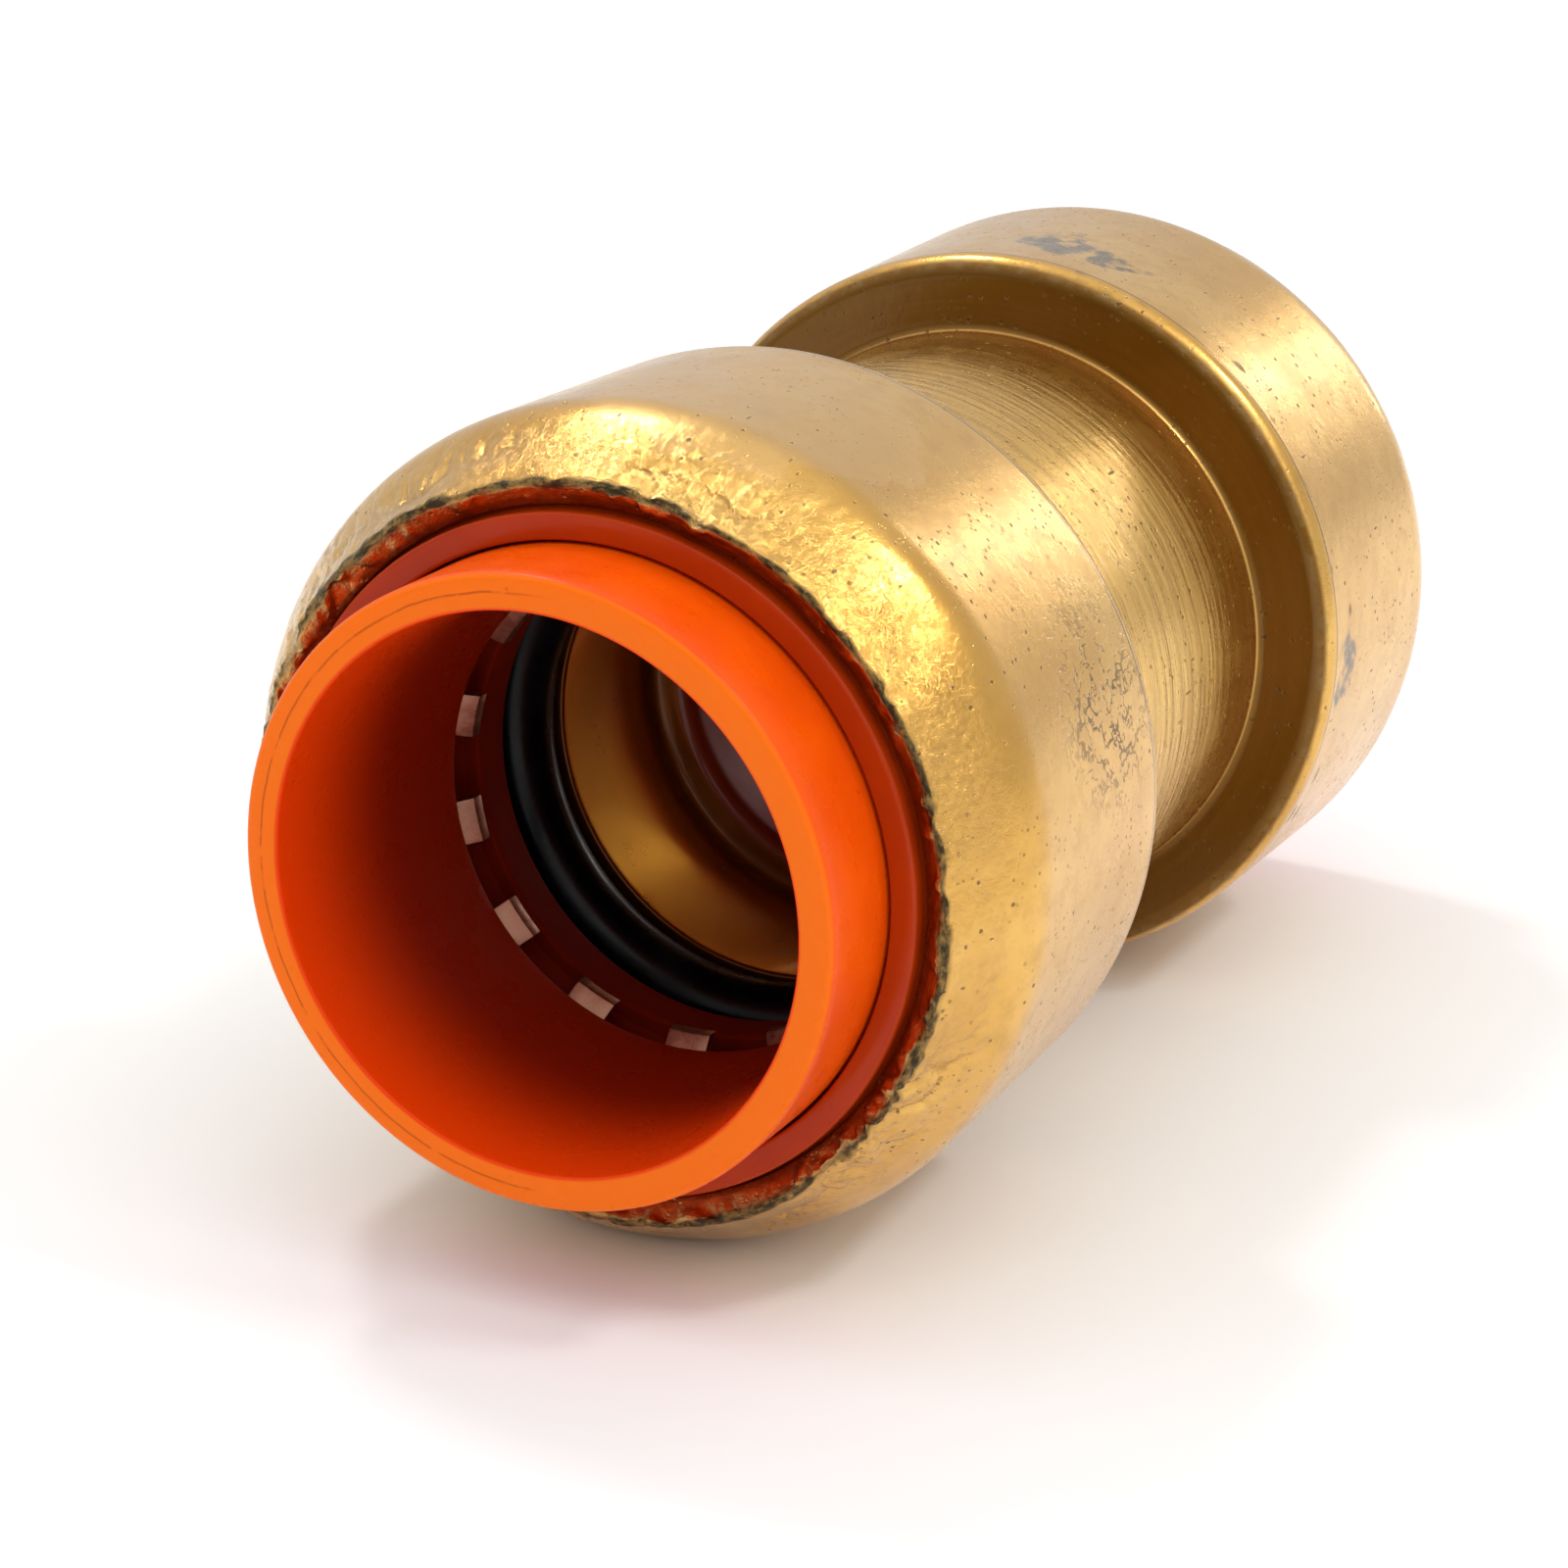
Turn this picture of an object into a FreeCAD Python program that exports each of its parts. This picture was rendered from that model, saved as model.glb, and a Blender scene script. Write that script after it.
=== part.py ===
import FreeCAD, Part
import math
import os

# Push fit coupling for two tubes, end to end.
# Millimetres. The tube axis is X, the origin is the middle of the coupling, +Z is up.
# Both ends are alike, so each end is drawn on the +X side and mirrored for the -X side.

Vec = FreeCAD.Vector

# ---- driving dimensions ------------------------------------------------------------------

# the tube that the fitting takes, and how it passes through
TUBE_OUTER_D = 15.88
BORE_CLEARANCE = 0.11
O_RING_BITE = 0.10
TOOTH_BITE = 0.10
SOCKET_LENGTH = 6.36

# clearances between the pieces
SEAT_CLEARANCE = 0.06
SIDE_GAP = 0.10
END_GAP = 0.05
RING_GAP = 0.08

# brass body
STOP_WIDTH = 5.0
STOP_HEIGHT = 1.45
STOP_EDGE_ROUND = 0.6
STOP_CORNER_ROUND = 0.6
NECK_WALL = 2.51
NECK_FILLET = 0.35
BELL_WALL = 2.15
BELL_TAPER = 0.22
BELL_BACK_WALL = 0.55
BELL_EDGE_ROUND = 0.75
SEAT_EDGE_ROUND = 0.15
CRIMP_LENGTH = 3.25
CRIMP_ROUND = 3.0
LIP_WALL = 0.83
LIP_SLOPE = 0.6
LIP_ROUND = 0.25

# rubber ring, and the plastic ring that guards it from the teeth
O_RING_SECTION = 2.62
O_RING_SIDE_GAP = 0.06
PROTECTOR_LENGTH = 4.52
PROTECTOR_BORE_GAP = 0.41
PROTECTOR_LEAD = 0.78
PROTECTOR_LEAD_HEIGHT = 0.55
PROTECTOR_ROUND = 0.15
RECESS_FLOOR_GAP = 0.41
RECESS_SIDE_GAP = 0.45
RECESS_MOUTH_GAP = 0.95

# steel grab ring
TOOTH_COUNT = 14
TOOTH_WIDTH = 1.47
TOOTH_REACH = 1.76
TOOTH_DROP = 1.35
RING_THICKNESS = 0.45

# plastic cartridge, crimped in under the lip of the body
CARTRIDGE_WALL = 0.55
CARTRIDGE_LIP = 1.6
CARTRIDGE_STRAIGHT = 3.76
CARTRIDGE_SHOULDER_LENGTH = 0.8
CARTRIDGE_SHOULDER_DROP = 0.45
CARTRIDGE_NOSE = 0.6
CARTRIDGE_ROUND = 0.12

# plastic release collar
COLLAR_STAND_OUT = 3.63
COLLAR_MOUTH_GAP = 0.78
COLLAR_TIP_GAP = 0.21
COLLAR_RIM_WALL = 1.13
COLLAR_RIM_ROUND = 0.22
COLLAR_BORE_ROUND = 0.12
COLLAR_TRAVEL = 1.5
COLLAR_FLANGE_WIDTH = 0.8
COLLAR_FLANGE_HEIGHT = 0.65
COLLAR_FLANGE_GAP = 0.20
NOSE_TIP_WALL = 0.30
NOSE_TOOTH_GAP = 0.10
NOSE_ROOT_GAP = 0.15
NOSE_SHOULDER_GAP = 0.20
NOSE_CONE_LENGTH = 1.0

# ---- radii that follow -------------------------------------------------------------------

tube_r = TUBE_OUTER_D / 2
bore_r = tube_r + BORE_CLEARANCE
stop_r = bore_r - STOP_HEIGHT
neck_r = bore_r + NECK_WALL

o_ring_inner_r = tube_r - O_RING_BITE
o_ring_mid_r = o_ring_inner_r + O_RING_SECTION / 2
seat_r = o_ring_inner_r + O_RING_SECTION + SEAT_CLEARANCE

collar_mouth_r = tube_r + COLLAR_MOUTH_GAP
collar_tip_r = tube_r + COLLAR_TIP_GAP
collar_r = collar_mouth_r + COLLAR_RIM_WALL
flange_r = collar_r + COLLAR_FLANGE_HEIGHT
cartridge_lip_r = collar_r + SIDE_GAP
cavity_r = flange_r + COLLAR_FLANGE_GAP
# the counterbore takes the cartridge, and is always wider than the rubber ring's seat
counterbore_r = max(cavity_r + CARTRIDGE_WALL + SIDE_GAP, seat_r + O_RING_SECTION / 4)
cartridge_r = counterbore_r - SIDE_GAP
cartridge_face_r = cartridge_r - CARTRIDGE_SHOULDER_DROP
bell_r = counterbore_r + BELL_WALL
bell_back_r = bell_r - BELL_TAPER
protector_r = counterbore_r - SIDE_GAP
ring_r = protector_r - END_GAP

tooth_tip_r = tube_r - TOOTH_BITE
tooth_root_r = tooth_tip_r + TOOTH_REACH
nose_tip_r = collar_tip_r + NOSE_TIP_WALL
nose_r = tooth_root_r - NOSE_ROOT_GAP
protector_bore_r = tube_r + PROTECTOR_BORE_GAP

# ---- places along the axis that follow, from the middle outwards -------------------------

stop_x = STOP_WIDTH / 2
seat_x = stop_x + SOCKET_LENGTH
bell_back_x = seat_x - BELL_BACK_WALL
o_ring_x = seat_x + O_RING_SIDE_GAP + O_RING_SECTION / 2
counterbore_x = o_ring_x + O_RING_SECTION / 2 + O_RING_SIDE_GAP
protector_x = counterbore_x + END_GAP
protector_front_x = protector_x + PROTECTOR_LENGTH
ring_x = protector_front_x + RING_GAP
ring_front_x = ring_x + RING_THICKNESS
cartridge_x = ring_front_x + RING_GAP
shoulder_x = cartridge_x + CARTRIDGE_STRAIGHT
shoulder_front_x = shoulder_x + CARTRIDGE_SHOULDER_LENGTH
cartridge_face_x = shoulder_front_x + CARTRIDGE_NOSE
cartridge_lip_x = cartridge_face_x - CARTRIDGE_LIP
rim_x = cartridge_face_x + COLLAR_STAND_OUT

# the outer face of a tooth, at the radius where the collar's nose pushes it
tooth_slope = TOOTH_DROP / TOOTH_REACH
tooth_push_x = ring_front_x - (tooth_root_r - nose_tip_r) * tooth_slope
nose_x = tooth_push_x + NOSE_TOOTH_GAP
nose_shoulder_x = ring_front_x + COLLAR_TRAVEL + NOSE_SHOULDER_GAP
recess_x = nose_x - COLLAR_TRAVEL - RECESS_FLOOR_GAP
flange_x = cartridge_lip_x - SIDE_GAP

lip_inner_x = shoulder_front_x + SIDE_GAP
lip_inner_r = cartridge_face_r + SIDE_GAP
lip_x = lip_inner_x + LIP_SLOPE
lip_r = lip_inner_r + LIP_WALL


# ---- solids of revolution ----------------------------------------------------------------

def point(corner):
    """The place of an (x, radius) corner in the plane that is turned about the axis."""
    return Vec(corner[0], 0, corner[1])


def corner_arc(before, corner, after):
    """Start, middle and end of the arc that rounds one corner; all one point if it is sharp."""
    here = point(corner)
    back = (point(before) - here).normalize()
    ahead = (point(after) - here).normalize()
    rounding = corner[2] if len(corner) > 2 else 0
    if not rounding:
        return here, here, here
    half_angle = back.getAngle(ahead) / 2
    reach = rounding / math.tan(half_angle)
    inwards = (back + ahead).normalize()
    middle = here + inwards * (rounding / math.sin(half_angle) - rounding)
    return here + back * reach, middle, here + ahead * reach


def outline(corners):
    """Closed wire through (x, radius) or (x, radius, rounding) corners."""
    count = len(corners)
    arcs = [corner_arc(corners[i - 1], corners[i], corners[(i + 1) % count]) for i in range(count)]
    edges = []
    for i, (start, middle, end) in enumerate(arcs):
        if start != end:
            edges.append(Part.Arc(start, middle, end).toShape())
        edges.append(Part.LineSegment(end, arcs[(i + 1) % count][0]).toShape())
    return Part.Wire(edges)


def turned(corners):
    """Solid made by turning an outline once about the tube axis."""
    face = Part.Face(outline(corners))
    return face.revolve(Vec(0, 0, 0), Vec(1, 0, 0), 360)


# ---- the pieces, on the +X side ----------------------------------------------------------

def body_end_corners():
    """Outline of one end of the body, from the neck out over the bell and back to the stop."""
    return [
        (bell_back_x, neck_r, NECK_FILLET),
        (bell_back_x, bell_back_r, BELL_EDGE_ROUND),
        (lip_x - CRIMP_LENGTH, bell_r, CRIMP_ROUND),
        (lip_x, lip_r, LIP_ROUND),
        (lip_inner_x, lip_inner_r),
        (shoulder_x + SIDE_GAP, counterbore_r),
        (counterbore_x, counterbore_r),
        (counterbore_x, seat_r),
        (seat_x, seat_r),
        (seat_x, bore_r, SEAT_EDGE_ROUND),
        (stop_x, bore_r, STOP_CORNER_ROUND),
        (stop_x, stop_r, STOP_EDGE_ROUND),
    ]


def make_body():
    """Brass body: two crimped bells on a neck, with the tube stop inside the neck."""
    right = body_end_corners()
    left = [(-corner[0],) + corner[1:] for corner in reversed(right)]
    return turned(right + left)


def make_o_ring():
    """Rubber ring in its seat next to the plain bore."""
    return Part.makeTorus(o_ring_mid_r, O_RING_SECTION / 2, Vec(o_ring_x, 0, 0), Vec(1, 0, 0))


def make_protector():
    """Plastic ring that guards the rubber ring, with a coned recess for the bent teeth."""
    return turned([
        (protector_x, protector_r, PROTECTOR_ROUND),
        (protector_x, protector_bore_r + PROTECTOR_LEAD_HEIGHT),
        (protector_x + PROTECTOR_LEAD, protector_bore_r, PROTECTOR_ROUND),
        (recess_x, protector_bore_r, PROTECTOR_ROUND),
        (recess_x, nose_tip_r + RECESS_SIDE_GAP),
        (protector_front_x, nose_r + RECESS_MOUTH_GAP),
        (protector_front_x, protector_r, PROTECTOR_ROUND),
    ])


def make_grab_ring():
    """Flat steel ring with sprung teeth that lean inwards and away from the mouth."""
    rim = turned([
        (ring_x, tooth_root_r),
        (ring_x, ring_r),
        (ring_front_x, ring_r),
        (ring_front_x, tooth_root_r),
    ])
    cone = turned([
        (ring_x, tooth_root_r),
        (ring_x - TOOTH_DROP, tooth_tip_r),
        (ring_front_x - TOOTH_DROP, tooth_tip_r),
        (ring_front_x, tooth_root_r),
        (ring_front_x, tooth_root_r + RING_THICKNESS),
        (ring_x, tooth_root_r + RING_THICKNESS),
    ])
    low_x = ring_x - TOOTH_DROP - RING_THICKNESS
    teeth = []
    for i in range(TOOTH_COUNT):
        strip = Part.makeBox(
            ring_front_x + RING_THICKNESS - low_x,
            TOOTH_WIDTH,
            tooth_root_r + RING_THICKNESS / 2,
            Vec(low_x, -TOOTH_WIDTH / 2, -tooth_root_r - RING_THICKNESS / 2),
        )
        strip.rotate(Vec(0, 0, 0), Vec(1, 0, 0), 360 * i / TOOTH_COUNT)
        teeth.append(cone.common(strip))
    return rim.fuse(teeth).removeSplitter()


def make_cartridge():
    """Plastic ring that fills the bell and holds the collar's flange behind its lip."""
    return turned([
        (cartridge_x, cavity_r),
        (cartridge_x, cartridge_r),
        (shoulder_x, cartridge_r),
        (shoulder_front_x, cartridge_face_r),
        (cartridge_face_x, cartridge_face_r, CARTRIDGE_ROUND),
        (cartridge_face_x, cartridge_lip_r, CARTRIDGE_ROUND),
        (cartridge_lip_x, cartridge_lip_r, CARTRIDGE_ROUND),
        (cartridge_lip_x, cavity_r),
    ])


def make_release_collar():
    """Plastic sleeve: rim outside, flange behind the cartridge's lip, nose behind the teeth."""
    flange_back_x = flange_x - COLLAR_FLANGE_WIDTH
    return turned([
        (nose_x, collar_tip_r),
        (nose_x, nose_tip_r),
        (nose_x + NOSE_CONE_LENGTH, nose_r),
        (nose_shoulder_x, nose_r),
        (nose_shoulder_x, collar_r),
        (flange_back_x - COLLAR_FLANGE_HEIGHT / 2, collar_r),
        (flange_back_x, flange_r),
        (flange_x, flange_r),
        (flange_x, collar_r),
        (rim_x, collar_r, COLLAR_RIM_ROUND),
        (rim_x, collar_mouth_r, COLLAR_BORE_ROUND),
    ])


END_PIECES = {
    "release_collar": make_release_collar,
    "cartridge": make_cartridge,
    "grab_ring": make_grab_ring,
    "o_ring_protector": make_protector,
    "o_ring": make_o_ring,
}


def save(name, shape):
    """Write one piece to its own file."""
    solid = shape.Solids[0] if len(shape.Solids) == 1 else shape
    solid.exportStep("parts/" + name + ".step")
    print(name, "solids", len(shape.Solids), "volume", round(solid.Volume, 2), "valid", solid.isValid())


def main():
    """Write the body once, and each end piece once for each end."""
    os.makedirs("parts", exist_ok=True)
    save("body", make_body())
    for name, make in END_PIECES.items():
        piece = make()
        save(name + "_a", piece.mirror(Vec(0, 0, 0), Vec(1, 0, 0)))
        save(name + "_b", piece)


main()
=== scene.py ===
import functools
import math

import bpy
import numpy as np
from mathutils import Matrix, Vector


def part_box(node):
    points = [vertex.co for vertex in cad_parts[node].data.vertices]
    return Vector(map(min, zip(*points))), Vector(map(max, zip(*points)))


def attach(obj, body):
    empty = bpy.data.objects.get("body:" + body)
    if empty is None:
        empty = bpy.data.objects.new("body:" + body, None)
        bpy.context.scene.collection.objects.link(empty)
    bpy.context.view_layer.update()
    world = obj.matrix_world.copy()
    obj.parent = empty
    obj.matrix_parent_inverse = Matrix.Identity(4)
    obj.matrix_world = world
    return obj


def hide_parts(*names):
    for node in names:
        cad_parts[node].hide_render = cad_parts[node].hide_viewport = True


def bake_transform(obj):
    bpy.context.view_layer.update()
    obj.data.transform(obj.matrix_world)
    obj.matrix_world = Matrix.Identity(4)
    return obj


# Looks of a push fit coupling. Lengths in the profiles are millimetres; Blender's unit is the metre.
# The tube axis is X. Each end is drawn for +X and mirrored for the other end.

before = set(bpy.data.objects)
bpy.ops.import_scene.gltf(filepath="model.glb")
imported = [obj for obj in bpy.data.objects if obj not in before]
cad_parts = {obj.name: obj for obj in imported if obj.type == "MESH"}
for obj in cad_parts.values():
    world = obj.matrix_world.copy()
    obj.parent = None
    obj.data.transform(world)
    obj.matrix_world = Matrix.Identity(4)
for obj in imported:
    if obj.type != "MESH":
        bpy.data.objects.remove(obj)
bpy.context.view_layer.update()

MM = 0.001
ENDS = {"a": -1, "b": 1}


# ---- sizes read from the CAD model --------------------------------------------------------

def span(node):
    """(nearest x, farthest x, outer radius) in mm of a turned piece on the +X side."""
    low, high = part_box(node)
    return low.x / MM, high.x / MM, high.z / MM


CARTRIDGE_X, CARTRIDGE_FACE_X, CARTRIDGE_R = span("cartridge_b")
COLLAR_X, RIM_X, FLANGE_R = span("release_collar_b")
PROTECTOR_X, PROTECTOR_FRONT_X, PROTECTOR_R = span("o_ring_protector_b")
O_RING_X, O_RING_FRONT_X, O_RING_R = span("o_ring_b")
FLOOR_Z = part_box("body")[0].z

# sizes that the boxes don't give
STOP_X, STOP_R = 2.5, 6.6
BORE_R, SEAT_X, SEAT_R = 8.05, 8.86, 10.52
COUNTERBORE_X, COUNTERBORE_R = 11.60, 11.35
NECK_R, BELL_BACK_X, BELL_BACK_R = 10.56, 8.31, 13.28
BELL_R, SHOULDER_X = 13.50, 18.79
LIP_X, LIP_R, LIP_INNER_X, LIP_INNER_R = 22.04, 11.73, 21.44, 10.90
LIP_CAVITY_X = 20.64
BELL_EDGE_ROUND, SHOULDER_ROUND = 0.75, 3.0
SEAM_X = 9.08
COLLAR_MOUTH_R, COLLAR_R = 8.72, 9.85
COLLAR_TIP_R, COLLAR_TIP_WALL = 8.15, 0.30
NOSE_R, NOSE_CONE, NOSE_SHOULDER_X = 9.45, 1.0, 18.40
FLANGE_DEPTH, FLANGE_WIDTH, FLANGE_CONE = 1.7, 0.8, 0.325
CARTRIDGE_WALL, CARTRIDGE_DROP, CARTRIDGE_BRIM, CARTRIDGE_GAP = 0.55, 0.45, 1.6, 0.10
CARTRIDGE_TAPER = (1.4, 0.6)
PROTECTOR_BORE_R, PROTECTOR_CHAMFER_X, PROTECTOR_CHAMFER_R = 8.35, 0.78, 0.55
RECESS_DEPTH, RECESS_R, RECESS_MOUTH_R = 1.91, 8.90, 10.40
SCRIBED_R = 9.28

# worn places on the body: (x, y, z) in mm and how far each one reaches
DULL_PATCH = ((-13.8, -1.0, 14.6), 5.2)
BURNT_SPOTS = (((13.6, 0.4, 14.7), 1.6), ((13.0, -2.0, 14.3), 1.1), ((11.6, -11.9, 0.6), 1.2))
BATTERED_PATCH = ((-12.2, -12.5, 4.0), 4.6)

# colours, linear
BRASS_WARM, BRASS_LIGHT = (0.70, 0.385, 0.085), (0.80, 0.475, 0.125)
BRASS_MOTTLE, BRASS_PALE, BRASS_NECK = (0.56, 0.31, 0.075), (0.80, 0.50, 0.17), (0.93, 0.57, 0.12)
BRASS_STREAK, BRASS_SEAM = (0.58, 0.34, 0.07), (0.20, 0.115, 0.04)
BRASS_DULL, BRASS_BURNT = (0.74, 0.47, 0.20), (0.12, 0.090, 0.070)
# painted shade on the bells' back faces, and a deep yellow painted reflection of the orange plastic in the
# bore
BRASS_BACK_FACE_SHADE, BRASS_BORE_REFLECTION = (0.17, 0.070, 0.005), (0.80, 0.37, 0.004)
# painted shade in the seat and the stop's bore, dark red in the stop's bore as a painted reflection of the
# orange plastic
BRASS_RECESS_SHADE, BRASS_STOP_SHADE = (0.17, 0.050, 0.004), (0.30, 0.030, 0.001)
DIRT, GRIME = (0.13, 0.080, 0.032), (0.26, 0.16, 0.055)
# the haze colour on the next line is partly oxide and partly a painted reflection of the plastic beside the
# lip
OXIDE_DARK, OXIDE_LIGHT, OXIDE_REFLECTION_HAZE = (0.040, 0.026, 0.007), (0.28, 0.17, 0.048), (0.34, 0.18, 0.060)
# the collar's face colour is painted light: a lighter orange for the rim's face
COLLAR_BRIGHT, COLLAR_DEEP, COLLAR_FACE_LIT = (0.85, 0.092, 0.0004), (0.77, 0.070, 0.0003), (0.93, 0.165, 0.002)
# painted shade: the collar's bore goes from the mouth colour to the darker inside colour
COLLAR_MOUTH, COLLAR_BORE_SHADE = (0.84, 0.052, 0.0006), (0.27, 0.011, 0.0006)
CARTRIDGE_BRIGHT, CARTRIDGE_DEEP = (0.46, 0.043, 0.002), (0.40, 0.034, 0.002)
PROTECTOR_BRIGHT, PROTECTOR_DEEP = (0.20, 0.010, 0.001), (0.16, 0.008, 0.001)
RUBBER_DARK, RUBBER_LIGHT = (0.0015, 0.0015, 0.002), (0.005, 0.0055, 0.0065)
# the steel's colours are tinted by a painted reflection of the orange plastic round the teeth
STEEL_DARK, STEEL_LIGHT = (0.30, 0.14, 0.09), (0.42, 0.21, 0.14)

# soft boxes: name, direction from the object, then distance, width and height in m, and power in W
LIGHTS = (
    ("left_softbox", (0.28, 0.44, 0.85), 0.5, 0.060, 0.060, 0.46),
    ("right_softbox", (0.09, -0.63, 0.77), 0.5, 0.060, 0.060, 0.44),
    ("side_strip", (0.92, -0.26, 0.31), 0.6, 0.04, 0.26, 0.16),
    ("front_right", (-0.50, -0.55, 0.67), 0.8, 0.95, 0.95, 2.75),
    ("front_left", (-0.50, 0.55, 0.67), 0.8, 0.95, 0.95, 1.55),
)
CAMERA_PLACE = (-0.121013, -0.054399, 0.039504)
CAMERA_AZIMUTH, CAMERA_ELEVATION = math.radians(-64.22), math.radians(18.149)
CAMERA_LENS, CAMERA_SENSOR = 91.24, 36.0


# ---- noise and profiles -------------------------------------------------------------------

def noise(points, size, seed):
    """Smooth noise from 0 to 1 at points (..., 3), with features about size across."""
    table = np.random.RandomState(seed).rand(32, 32, 32)
    at = points / size
    cell = np.floor(at).astype(int)
    part = at - cell
    part = part * part * (3 - 2 * part)
    total = np.zeros(points.shape[:-1])
    for corner in np.ndindex(2, 2, 2):
        index = (cell + corner) % 32
        weight = np.prod(np.where(corner, part, 1 - part), axis=-1)
        total += weight * table[index[..., 0], index[..., 1], index[..., 2]]
    return total


def ridges(points, size, seed):
    """Sharp creases: 1 on the crease, falling to 0 away from it."""
    return 1 - np.abs(2 * noise(points, size, seed) - 1)


def smooth(value, low, high):
    """0 below low, 1 above high, with a smooth step between."""
    t = np.clip((value - low) / (high - low), 0, 1)
    return t * t * (3 - 2 * t)


def rounded(corners, step, arc_steps=5):
    """Closed (x, radius) outline through corners (x, radius, rounding), runs cut to step."""
    count = len(corners)
    places = [np.array(c[:2], float) for c in corners]
    bends = []
    for i, corner in enumerate(corners):
        here, before, after = places[i], places[i - 1], places[(i + 1) % count]
        back = (before - here) / np.linalg.norm(before - here)
        ahead = (after - here) / np.linalg.norm(after - here)
        rounding = corner[2]
        half = math.acos(np.clip(back @ ahead, -1, 1)) / 2
        reach = rounding / math.tan(half)
        middle = here + (back + ahead) / np.linalg.norm(back + ahead) * rounding / math.sin(half)
        start, end = here + back * reach - middle, here + ahead * reach - middle
        turn = np.arctan2(start[0] * end[1] - start[1] * end[0], start @ end)
        angles = np.linspace(0, turn, arc_steps + 1)
        bends.append([
            middle + np.array([
                start[0] * math.cos(a) - start[1] * math.sin(a),
                start[0] * math.sin(a) + start[1] * math.cos(a),
            ])
            for a in angles
        ])
    outline = []
    for i, bend in enumerate(bends):
        outline += bend
        end, start = bend[-1], bends[(i + 1) % count][0]
        pieces = max(1, round(np.linalg.norm(start - end) / step))
        outline += [end + (start - end) * k / pieces for k in range(1, pieces)]
    return np.array(outline)


def lathe(name, outline, segments, side=1, shape=None):
    """Closed mesh turned about X. shape(x, r, points) gives the bent x and r, and point values."""
    turn = np.arange(segments) * 2 * math.pi / segments
    x = np.repeat(outline[:, :1], segments, 1)
    r = np.repeat(outline[:, 1:], segments, 1)
    values = {}
    if shape:
        points = np.stack([x * side, r * np.sin(turn), r * np.cos(turn)], -1)
        x, r, values = shape(x, r, points)
    points = np.stack([x * side, r * np.sin(turn), r * np.cos(turn)], -1) * MM
    rows = len(outline)
    row, column = np.meshgrid(np.arange(rows), np.arange(segments), indexing="ij")
    next_row, next_column = (row + 1) % rows, (column + 1) % segments
    quads = np.stack([
        row * segments + column,
        row * segments + next_column,
        next_row * segments + next_column,
        next_row * segments + column,
    ], -1).reshape(-1, 4)
    area = np.sum(outline[:, 0] * np.roll(outline[:, 1], -1) - np.roll(outline[:, 0], -1) * outline[:, 1])
    if area * side > 0:
        quads = quads[:, ::-1]
    mesh = bpy.data.meshes.new(name)
    mesh.from_pydata(points.reshape(-1, 3).tolist(), [], quads.tolist())
    for key, value in values.items():
        mesh.attributes.new(key, "FLOAT", "POINT").data.foreach_set("value", value.astype(np.float32).ravel())
    mesh.polygons.foreach_set("use_smooth", [True] * len(mesh.polygons))
    mesh.update()
    piece = bpy.data.objects.new(name, mesh)
    bpy.context.scene.collection.objects.link(piece)
    return piece


def place(piece, body, node, slot, material):
    """Puts a finished piece on its body, in place of its CAD node."""
    piece.data.materials.clear()
    piece.data.materials.append(material)
    if body:
        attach(piece, body)
    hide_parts(node)


# ---- material tools -----------------------------------------------------------------------

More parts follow.
